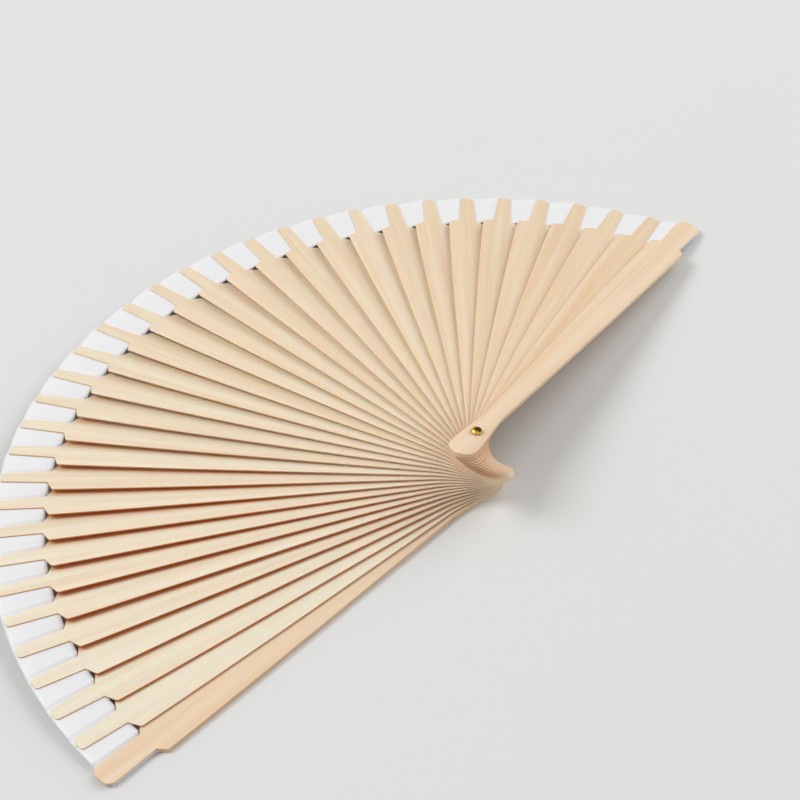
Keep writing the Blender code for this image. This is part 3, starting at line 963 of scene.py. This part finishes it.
class FAN_OT_ribbon(bpy.types.Operator):
    """Lay the ribbon behind the tongues, as one length for each gap between two tongues"""

    bl_idname = "folding_fan.ribbon"
    bl_label = "Build Ribbon"

    def execute(self, context):
        finish = satin_ribbon("white_satin_ribbon", context.scene.fan_colours.ribbon)
        run = 0.0
        for index in range(GUARD_TOP, GUARD_BOTTOM):
            run = self.lay(index, run, finish)
        return {"FINISHED"}

    def widths(self, index):
        """A piece's width at the shoulder, at the tongue's root and at its end."""
        if index in (GUARD_TOP, GUARD_BOTTOM):
            return GUARD_WIDTH, GUARD_TONGUE_BASE_WIDTH, GUARD_TONGUE_END_WIDTH
        return SHOULDER_WIDTH, TONGUE_BASE_WIDTH, TONGUE_END_WIDTH

    def half_width(self, index, x):
        """Half the wood's width at a place along the tongue, with the ribbon's margin."""
        shoulder, base, end = self.widths(index)
        slope = max(0.0, (TONGUE_ROOT - x) / SHOULDER_SLOPE) * (shoulder - base) / 2
        share = min(1.0, max(0.0, (x - TONGUE_ROOT) / TONGUE_LENGTH))
        return blend(base, end, share) / 2 + slope + RIBBON_MARGIN

    def under(self, index):
        """Height of the tongue's underside in the piece's own frame."""
        if index == GUARD_BOTTOM:
            return GUARD_THICKNESS / 2 - GUARD_TONGUE_THICKNESS
        return -thickness(index) / 2

    def glued(self, index, x, y):
        """A point of the ribbon under a tongue, in the rivet's frame."""
        height = self.under(index) - RIBBON_GLUE - RIBBON_THICKNESS / 2
        return turned_frame(index) @ Vector((x, y, height))

    def height(self, index, x, y, own):
        """Height along the rivet of a point in a piece's frame, whichever way it is turned."""
        tilt, lean = droop_of(index), roll(index)
        rise = y * math.sin(lean) + own * math.cos(lean)
        return level(index) - math.sin(tilt) * x + math.cos(tilt) * rise

    def between(self, index, x, y):
        """Middle of the room that is left between two tongues when they lie on each other."""
        above = self.height(index, x, y, self.under(index) - RIBBON_GLUE - RIBBON_THICKNESS)
        below = self.height(index + 1, x, y, thickness(index + 1) / 2)
        return (above + below) / 2

    def free(self, index, x, share):
        """A point of the loose ribbon between two tongues. It leaves the upper tongue's back,
        keeps level with the room between the tongues and dips behind the lower tongue just
        before its edge."""
        start = self.glued(index, x, self.half_width(index, x))
        end = self.glued(index + 1, x, -self.half_width(index + 1, x))
        angles = [math.atan2(point.y, point.x) % (2 * math.pi) for point in (start, end)]
        radii = [math.hypot(point.x, point.y) for point in (start, end)]
        angle = blend(angles[0], angles[1], share)
        radius = blend(radii[0], radii[1], share)
        folded = angle - heading(index) - open_step(index) * smooth(share)
        y = radius * math.sin(folded)
        z = self.between(index, x, y)
        off_start = start.z - self.between(index, x, self.half_width(index, x))
        off_end = end.z - self.between(index, x, -self.half_width(index + 1, x))
        z += off_start * (1 - smooth(share, RIBBON_LEAVING_SPAN))
        z += off_end * smooth(share, RIBBON_DIPPING_SPAN)
        return Vector((radius * math.cos(angle), radius * math.sin(angle), z))

    def lay(self, index, run, finish):
        """One length of ribbon, from the middle of one tongue to the middle of the next."""
        rows = 12
        glued_columns, free_columns = 4, 22
        columns = []
        first, last = index == GUARD_TOP, index + 1 == GUARD_BOTTOM
        for number in range(glued_columns):
            share = number / glued_columns
            columns.append(("near", -1.0 + 2.0 * share if first else share))
        for number in range(free_columns + 1):
            columns.append(("free", number / free_columns))
        for number in range(1, glued_columns + 1):
            share = number / glued_columns
            columns.append(("far", -1.0 + 2.0 * share if last else -1.0 + share))
        shape = bmesh.new()
        weave = shape.loops.layers.uv.new("weave")
        grid = []
        lengths = [run]
        world = rivet_frame()
        for kind, share in columns:
            line = []
            for row in range(rows + 1):
                x = blend(RIBBON_INNER, RIBBON_OUTER, row / rows)
                if kind == "near":
                    point = self.glued(index, x, share * self.half_width(index, x))
                elif kind == "far":
                    point = self.glued(index + 1, x, share * self.half_width(index + 1, x))
                else:
                    point = self.free(index, x, share)
                line.append(shape.verts.new(world @ point))
            if grid:
                lengths.append(lengths[-1] + (line[rows // 2].co - grid[-1][rows // 2].co).length)
            grid.append(line)
        for column in range(len(grid) - 1):
            for row in range(rows):
                corners = ((column, row), (column, row + 1), (column + 1, row + 1), (column + 1, row))
                face = shape.faces.new([grid[a][b] for a, b in corners])
                face.smooth = True
                for loop, (a, b) in zip(face.loops, corners):
                    across = (RIBBON_OUTER - RIBBON_INNER) * b / rows
                    loop[weave].uv = (lengths[a], across)
        bmesh.ops.recalc_face_normals(shape, faces=shape.faces)
        name = f"satin_ribbon_{index + 1:02d}"
        mesh = bpy.data.meshes.new(name)
        shape.to_mesh(mesh)
        shape.free()
        piece = bpy.data.objects.new(name, mesh)
        bpy.context.scene.collection.objects.link(piece)
        mesh.materials.append(finish)
        settings = {"thickness": RIBBON_THICKNESS, "offset": 0.0, "use_even_offset": True}
        apply_modifier(piece, "cloth", "SOLIDIFY", settings)
        middle = (RIBBON_INNER + RIBBON_OUTER) / 2
        # Points on the ribbon's middle line just beyond each tongue's edge, which nothing uses.
        start_y = self.half_width(index, middle) + RIBBON_STIFF_WIDTH
        end_y = -self.half_width(index + 1, middle) - RIBBON_STIFF_WIDTH
        start = world @ self.glued(index, middle, start_y)
        end = world @ self.glued(index + 1, middle, end_y)
        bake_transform(piece)
        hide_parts("ribbon")
        return lengths[-1]


class FAN_OT_stage(bpy.types.Operator):
    """Set the pale table, the soft window light, the pale surroundings and the camera"""

    bl_idname = "folding_fan.stage"
    bl_label = "Build Stage"

    def execute(self, context):
        self.add_table(context)
        self.add_light("window_light", KEY_HEADING, KEY_ELEVATION, KEY_DISTANCE, KEY_SIZE, KEY_LEVEL)
        wall = self.add_light(
            "white_wall", FILL_HEADING, FILL_ELEVATION, FILL_DISTANCE, FILL_SIZE, FILL_LEVEL
        )
        # A matt wall, which polished metal hardly shows.
        wall.visible_glossy = False
        self.add_surroundings(context)
        self.add_camera(context)
        context.scene.view_settings.view_transform = "Standard"
        return {"FINISHED"}

    def add_table(self, context):
        deselect()
        bpy.ops.mesh.primitive_plane_add(size=TABLE_SIZE)
        table = context.object
        table.name = "table_top"
        table.data.materials.append(painted_table("matt_white_table", context.scene.fan_colours.table))

    def add_light(self, name, heading, elevation, distance, size, level):
        """Add a soft light with the power that gives a level white surface its share of light."""
        flat = math.cos(elevation)
        towards = Vector((math.cos(heading) * flat, math.sin(heading) * flat, math.sin(elevation)))
        bpy.ops.object.light_add(type="AREA", location=towards * distance)
        lamp = bpy.context.object
        lamp.name = name
        lamp.rotation_euler = towards.to_track_quat("Z", "Y").to_euler()
        lamp.data.shape = "SQUARE"
        lamp.data.size = size
        lamp.data.energy = level * math.pi * math.pi * distance**2 / math.sin(elevation)
        return lamp

    def add_surroundings(self, context):
        world = bpy.data.worlds.new("pale_room")
        context.scene.world = world
        world.use_nodes = True
        tree = world.node_tree
        tree.nodes.clear()
        rays = add_node(tree, "ShaderNodeLightPath", {}, {})
        soft_light = {"Color": linear(SKY_COLOUR), "Strength": SKY_LEVEL}
        sky = add_node(tree, "ShaderNodeBackground", {}, soft_light)
        # The backdrop is what the camera and all that shines see. What shines also sees a
        # darker side of the room, which gives the brass its contrast.
        direction = add_node(tree, "ShaderNodeTexCoord", {}, {}).outputs["Generated"]
        dark_side = Vector(DARK_SIDE).normalized()
        product = {"operation": "DOT_PRODUCT"}
        both = {0: direction, 1: dark_side}
        facing = add_node(tree, "ShaderNodeVectorMath", product, both).outputs["Value"]
        dark = map_range(tree, facing, *DARK_SIDE_EDGE, 0.0, 1.0 - DARK_SIDE_LEVEL)
        darker = calculate(tree, "MULTIPLY", dark, rays.outputs["Is Glossy Ray"])
        strength = calculate(tree, "SUBTRACT", 1.0, darker)
        shown_light = {"Color": linear(BACKDROP_COLOUR), "Strength": strength}
        backdrop = add_node(tree, "ShaderNodeBackground", {}, shown_light)
        seen = rays.outputs["Is Camera Ray"]
        for kind in ("Is Glossy Ray", "Is Transmission Ray"):
            seen = calculate(tree, "MAXIMUM", seen, rays.outputs[kind])
        shown = {0: seen, 1: sky.outputs[0], 2: backdrop.outputs[0]}
        mixed = add_node(tree, "ShaderNodeMixShader", {}, shown)
        output = tree.nodes.new("ShaderNodeOutputWorld")
        tree.links.new(mixed.outputs[0], output.inputs["Surface"])

    def add_camera(self, context):
        """Add the camera, which looks down at its aim along its azimuth."""
        level = Vector((math.sin(CAMERA_AZIMUTH), math.cos(CAMERA_AZIMUTH), 0.0))
        down = Vector((0.0, 0.0, -1.0))
        forward = level * math.cos(CAMERA_ELEVATION) + down * math.sin(CAMERA_ELEVATION)
        right = Vector((math.cos(CAMERA_AZIMUTH), -math.sin(CAMERA_AZIMUTH), 0.0))
        up = right.cross(forward)
        cosine, sine = math.cos(CAMERA_ROLL), math.sin(CAMERA_ROLL)
        axes = (right * cosine - up * sine, right * sine + up * cosine, -forward)
        turn = Matrix(axes).transposed().to_4x4()
        bpy.ops.object.camera_add()
        camera = context.object
        camera.name = "camera"
        camera.matrix_world = Matrix.Translation(Vector(CAMERA_AIM) - forward * CAMERA_DISTANCE) @ turn
        camera.data.lens = CAMERA_LENS
        camera.data.sensor_width = CAMERA_SENSOR
        camera.data.clip_start, camera.data.clip_end = CAMERA_REACH
        context.scene.camera = camera


class FAN_PT_sidebar(bpy.types.Panel):
    """Sizes, colours and pieces of the folding fan"""

    bl_idname = "FAN_PT_sidebar"
    bl_label = "Folding Fan"
    bl_space_type = "VIEW_3D"
    bl_region_type = "UI"
    bl_category = "Fan"

    def draw(self, context):
        for group in (context.scene.fan_sizes, context.scene.fan_colours):
            box = self.layout.box()
            for name in group.__annotations__:
                box.prop(group, name)
        column = self.layout.column(align=True)
        for operator in OPERATORS:
            column.operator(operator.bl_idname)


OPERATORS = (FAN_OT_stage, FAN_OT_sticks, FAN_OT_guards, FAN_OT_rivet, FAN_OT_ribbon)
CLASSES = (FanSizes, FanColours, *OPERATORS, FAN_PT_sidebar)


def register():
    for kind in CLASSES:
        bpy.utils.register_class(kind)
    bpy.types.Scene.fan_sizes = bpy.props.PointerProperty(type=FanSizes)
    bpy.types.Scene.fan_colours = bpy.props.PointerProperty(type=FanColours)


def unregister():
    del bpy.types.Scene.fan_colours
    del bpy.types.Scene.fan_sizes
    for kind in reversed(CLASSES):
        bpy.utils.unregister_class(kind)


def main():
    """Build the stage and the fan."""
    register()
    bpy.ops.folding_fan.stage()
    bpy.ops.folding_fan.sticks()
    bpy.ops.folding_fan.guards()
    bpy.ops.folding_fan.rivet()
    bpy.ops.folding_fan.ribbon()


if __name__ == "__main__":
    main()
